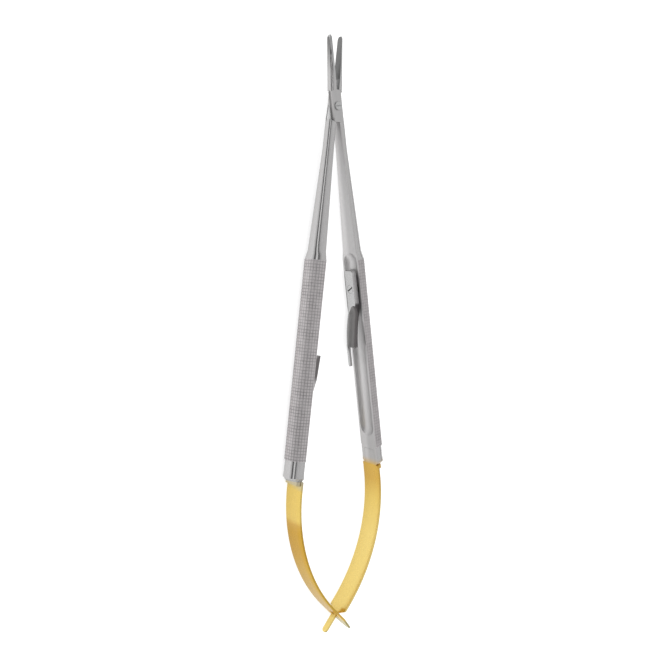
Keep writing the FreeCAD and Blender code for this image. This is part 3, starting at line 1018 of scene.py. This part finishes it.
# %% [markdown]
# ## Leaf springs
# A leaf is a flat strip bent to one radius. The right one ends in two shoulders and a tongue,
# the left one has a slot for that tongue and a tail that narrows. The strip is laid out flat
# in rows along its length, each row given by how far down the strip it is and how wide the
# strip is there, then wrapped onto its middle line. Many rows keep its bend smooth.

# %% The line of a leaf
LEAF_THICKNESS = 0.6
ROOT = 109.9
BEND_START = 112.8
BEND_RADIUS = 50.0
SWEEP = math.radians(49.46)


def bend_point(angle):
    """A point of the bend where it has turned by an angle, in the drawing's millimetres."""
    x = LEAF_THICKNESS / 2 - BEND_RADIUS * (1 - math.cos(angle))
    return Vector((x, -BEND_START - BEND_RADIUS * math.sin(angle), 0))


STRAIGHT = BEND_START - ROOT
BEND_LENGTH = BEND_RADIUS * SWEEP
opened_end = Matrix.Rotation(OPEN_ANGLE, 3, "Z") @ bend_point(SWEEP)
CROSSING = STRAIGHT + BEND_LENGTH + opened_end.x / math.sin(SWEEP - OPEN_ANGLE)


def leaf_point(run, across):
    """A point of the strip's middle face, by its run down the strip and its place across."""
    beyond = run - STRAIGHT - BEND_LENGTH
    if run <= STRAIGHT:
        point = Vector((LEAF_THICKNESS / 2, -ROOT - run, 0))
    elif beyond <= 0:
        point = bend_point((run - STRAIGHT) / BEND_RADIUS)
    else:
        point = bend_point(SWEEP) - Vector((math.sin(SWEEP), math.cos(SWEEP), 0)) * beyond
    return point + Vector((0, 0, across))


print("leaf: crossing", round(CROSSING, 2), "mm down the strip")

# %% Rows of a leaf
HALF_WIDTH = 3.68
TONGUE_HALF = 1.05
TONGUE_REACH = 6.4
SHOULDER_BEFORE = 2.0
SHOULDER_ROOT = 0.6
SLOT_HALF = 1.3
SLOT_BEFORE = 1.4
SLOT_AFTER = 1.5
TAIL_REACH = 8.1
TAIL_END_HALF = 1.0
ROW_STEP = 0.8
SHOULDER_STEP = 0.5
TIP_STEPS = 6
TIP_SHARE = 0.98
# A row has three columns of faces: a side, the middle and the other side.
ALL_COLUMNS = (0, 1, 2)
TONGUE_COLUMN = (1,)
SLOT_COLUMNS = (0, 2)


def spread(start, end, step):
    """Evenly spaced numbers from start to end, both included."""
    count = max(1, round((end - start) / step))
    return [start + (end - start) * i / count for i in range(count + 1)]


def right_rows():
    """Rows of the right leaf: (run, half width, half width of the middle, columns kept)."""
    shoulder = CROSSING - SHOULDER_BEFORE
    rows = [(run, HALF_WIDTH, TONGUE_HALF, ALL_COLUMNS)
            for run in spread(0, shoulder, ROW_STEP)]
    root = CROSSING - SHOULDER_ROOT
    for run in spread(shoulder, root, SHOULDER_STEP)[1:]:
        share = (run - shoulder) / (root - shoulder)
        half = HALF_WIDTH + (TONGUE_HALF - HALF_WIDTH) * share
        rows.append((run, half, TONGUE_HALF, ALL_COLUMNS))
    round_start = CROSSING + TONGUE_REACH - TONGUE_HALF
    rows += [(run, TONGUE_HALF, TONGUE_HALF, TONGUE_COLUMN)
             for run in spread(root, round_start, ROW_STEP)[1:]]
    for step in range(1, TIP_STEPS + 1):
        angle = math.radians(90 * step / TIP_STEPS) * TIP_SHARE
        half = TONGUE_HALF * math.cos(angle)
        rows.append((round_start + TONGUE_HALF * math.sin(angle), half, half, TONGUE_COLUMN))
    return rows


def left_rows():
    """Rows of the left leaf, in the same form. Its middle is open along the slot."""
    slot_start = CROSSING - SLOT_BEFORE
    slot_end = CROSSING + SLOT_AFTER
    rows = [(run, HALF_WIDTH, SLOT_HALF, ALL_COLUMNS)
            for run in spread(0, slot_start, ROW_STEP)]
    rows += [(run, HALF_WIDTH, SLOT_HALF, SLOT_COLUMNS)
             for run in spread(slot_start, slot_end, ROW_STEP)[1:]]
    tip = CROSSING + TAIL_REACH
    for run in spread(slot_end, tip, ROW_STEP)[1:]:
        share = (run - slot_end) / (tip - slot_end)
        half = HALF_WIDTH + (TAIL_END_HALF - HALF_WIDTH) * share
        rows.append((run, half, SLOT_HALF * half / HALF_WIDTH, ALL_COLUMNS))
    return rows


print("rows: right leaf", len(right_rows()), "left leaf", len(left_rows()))

# %% The strip of a leaf
LEAF_EDGE = 0.13 * MM
LEAF_SHARP_ANGLE = math.radians(50)
SAME_POINT = 0.01 * MM


def strip_mesh(rows, side):
    """The strip with its thickness and soft edges, placed in the row frame."""
    work = bmesh.new()
    lines = []
    for run, half, middle, kept in rows:
        line = [work.verts.new(leaf_point(run, across) * MM)
                for across in (-half, -middle, middle, half)]
        lines.append((line, kept))
    for (upper, _), (lower, kept) in zip(lines, lines[1:]):
        for column in kept:
            work.faces.new((upper[column], upper[column + 1], lower[column + 1],
                            lower[column]))
    bmesh.ops.remove_doubles(work, verts=work.verts, dist=SAME_POINT)
    loose = [vertex for vertex in work.verts if not vertex.link_faces]
    bmesh.ops.delete(work, geom=loose, context="VERTS")
    bmesh.ops.recalc_face_normals(work, faces=work.faces)
    rough = new_object("leaf_rough", to_mesh(work, "leaf_rough"))
    wall = rough.modifiers.new("wall", "SOLIDIFY")
    wall.thickness = LEAF_THICKNESS * MM
    wall.offset = 0
    edge = rough.modifiers.new("edge", "BEVEL")
    edge.width = LEAF_EDGE
    edge.segments = EDGE_SEGMENTS
    edge.limit_method = "ANGLE"
    edge.angle_limit = LEAF_SHARP_ANGLE
    edge.harden_normals = True
    mesh = plain_mesh(rough)
    mesh.transform(arm_place(side))
    for face in mesh.polygons:
        face.use_smooth = True
    return mesh


# %% [markdown]
# ## The root of a leaf
# Behind the ferrule a leaf starts with a heel, a disc cut flat on two sides, and a tang runs
# from it into its seat in the grip. Both are an outline drawn out along the arm. They are
# joined with the strip in one object.

# %% Heel and tang
HEEL_RADIUS = 3.1
HEEL_HEIGHT = 1.9
HEEL_LENGTH = 1.3
HEEL_STEP = 0.3
TANG_HALF = 2.3
TANG_LENGTH = 5.0


def prism(outline, y_start, y_end, side, edge):
    """An outline of (x, z) points drawn out along the arm, with soft edges."""
    work = bmesh.new()
    front = [work.verts.new(Vector((x, y_start, z)) * MM) for x, z in outline]
    rear = [work.verts.new(Vector((x, y_end, z)) * MM) for x, z in outline]
    work.faces.new(front)
    work.faces.new(rear)
    for i in range(len(outline)):
        j = (i + 1) % len(outline)
        work.faces.new((front[i], front[j], rear[j], rear[i]))
    bmesh.ops.recalc_face_normals(work, faces=work.faces)
    mesh = softened(work, "prism", edge=edge)
    mesh.transform(arm_place(side))
    return mesh


def heel_outline():
    """The heel's outline: a disc about the grip's axis between two flats."""
    axis = AXIS_OFFSET / MM
    points = []
    for start, end in ((LEAF_THICKNESS / 2, HEEL_HEIGHT), (HEEL_HEIGHT, LEAF_THICKNESS / 2)):
        sign = -1 if start < end else 1
        for x in spread(start, end, HEEL_STEP):
            points.append((x, sign * math.sqrt(HEEL_RADIUS ** 2 - (x - axis) ** 2)))
    return points


def heel(side):
    """The heel behind the ferrule."""
    return prism(heel_outline(), -ROOT, -ROOT - HEEL_LENGTH, side, edge=0.06 * MM)


def tang(side):
    """The tang in its seat in the grip."""
    flat = [(0, -TANG_HALF), (LEAF_THICKNESS, -TANG_HALF),
            (LEAF_THICKNESS, TANG_HALF), (0, TANG_HALF)]
    return prism(flat, -ROOT + TANG_LENGTH, -ROOT, side, edge=0.01 * MM)


print("heel outline:", len(heel_outline()), "points")

# %% Leaves
BLEND_START = Vector((0, -108, 0)) * MM
BLEND_END = Vector((0, -130, 0)) * MM

for side, rows in ((RIGHT, right_rows()), (LEFT, left_rows())):
    name = SIDE_NAME[side]
    strip = strip_mesh(rows, side)
    parts = [(strip, 0), (heel(side), 0), (tang(side), 1)]
    leaf = joined("fine_" + name + "_leaf", parts, GILT[side], GROUND[side])
    start = arm_place(side) @ BLEND_START
    end = arm_place(side) @ BLEND_END
    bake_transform(leaf)
    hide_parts(name + "_leaf_spring")
    print(leaf.name, len(leaf.data.polygons), "faces")

# %% [markdown]
# ## Floor and surroundings
# The photograph's ground is pure white, and polished steel is a mirror, so the surroundings
# matter as much as the materials. The floor is white to the camera and nearly so to
# reflections, and still takes a faint shadow. The sky is pale, with two dark bands across its
# left half, one low and one high: they give the round shanks the dark, bright, dark lines that
# run down them in the photograph. Its right half only dims towards the horizon.

# %% Floor
MIRRORED_FLOOR = 0.85
FLOOR_GREY = 0.5
FLOOR_GLOW = 0.72
FLOOR_HALF = 4.0


def floor_material():
    """White to the camera, nearly so in reflections, with the object's soft shadow."""
    material = bpy.data.materials.new("floor")
    material.use_nodes = True
    tree = material.node_tree
    tree.nodes.clear()
    rays = add_node(tree, "ShaderNodeLightPath")
    mirrored = calc(tree, "MULTIPLY", rays.outputs["Is Glossy Ray"], MIRRORED_FLOOR)
    seen = calc(tree, "MAXIMUM", rays.outputs["Is Camera Ray"],
                calc(tree, "MAXIMUM", mirrored, rays.outputs["Is Transmission Ray"]))
    matte = add_node(tree, "ShaderNodeBsdfDiffuse", [
        ("Color", (FLOOR_GREY, FLOOR_GREY, FLOOR_GREY, 1))])
    glow = add_node(tree, "ShaderNodeEmission", [
        ("Strength", calc(tree, "MULTIPLY", seen, FLOOR_GLOW))])
    both = add_node(tree, "ShaderNodeAddShader", enumerate((matte.outputs[0], glow.outputs[0])))
    add_node(tree, "ShaderNodeOutputMaterial", [("Surface", both.outputs[0])])
    return material


floor_mesh = bpy.data.meshes.new("floor")
floor_mesh.from_pydata(
    [(-FLOOR_HALF, -FLOOR_HALF, 0), (FLOOR_HALF, -FLOOR_HALF, 0),
     (FLOOR_HALF, FLOOR_HALF, 0), (-FLOOR_HALF, FLOOR_HALF, 0)], [], [(0, 1, 2, 3)])
floor = new_object("floor", floor_mesh, floor_material())
print("floor:", 2 * FLOOR_HALF, "m across")

# %% Sky
SKY_STRENGTH = 1.3
LEFT_SKY = [
    (0.0, 0.75), (0.17, 0.72), (0.27, 0.45), (0.36, 0.08), (0.46, 0.08), (0.55, 0.5),
    (0.61, 1.0), (0.66, 1.0), (0.72, 0.45), (0.77, 0.12), (0.81, 0.12), (0.88, 0.5),
    (0.94, 0.6), (1.0, 0.62),
]
RIGHT_SKY = (0.0, 0.4, 0.3, 0.66)
SKY_SEAM = (0.3, -0.1)


def build_sky():
    """White to the camera. In reflections pale, with two dark bands across its left half."""
    world = bpy.data.worlds.new("studio")
    bpy.context.scene.world = world
    world.use_nodes = True
    tree = world.node_tree
    tree.nodes.clear()
    way = split_vector(tree, add_node(tree, "ShaderNodeTexCoord").outputs["Generated"])
    bands = colour_steps(tree, way["Z"], [(height, (level,) * 3) for height, level in LEFT_SKY])
    left_side = ramp(tree, way["X"], *SKY_SEAM, 0.0, 1.0, smooth=True)
    right_level = ramp(tree, way["Z"], *RIGHT_SKY, smooth=True)
    studio = mixed(tree, left_side, right_level, bands)
    rays = add_node(tree, "ShaderNodeLightPath")
    colour = mixed(tree, rays.outputs["Is Camera Ray"], studio, (1, 1, 1, 1))
    sky = add_node(tree, "ShaderNodeBackground", (
        ("Color", colour), ("Strength", SKY_STRENGTH)))
    add_node(tree, "ShaderNodeOutputWorld", [("Surface", sky.outputs[0])])


build_sky()
bpy.context.scene.view_settings.view_transform = "Standard"
print("sky:", len(LEFT_SKY), "steps from the horizon up")

# %% [markdown]
# ## One soft lamp
# A broad lamp overhead gives the floor its light and the object its faint shadow. Metal
# doesn't mirror it, so that it draws no square patches on the shanks.

# %% Lamp
LAMP_SIZE = 0.9
LAMP_PLACE = (-0.1, 0.1, 0.8)
LAMP_WATTS = 4.0
lamp_data = bpy.data.lights.new("overhead", "AREA")
lamp_data.size = LAMP_SIZE
lamp_data.energy = LAMP_WATTS
lamp = bpy.data.objects.new("overhead", lamp_data)
lamp.location = LAMP_PLACE
lamp.visible_glossy = False
bpy.context.scene.collection.objects.link(lamp)
print("lamp:", LAMP_WATTS, "W")
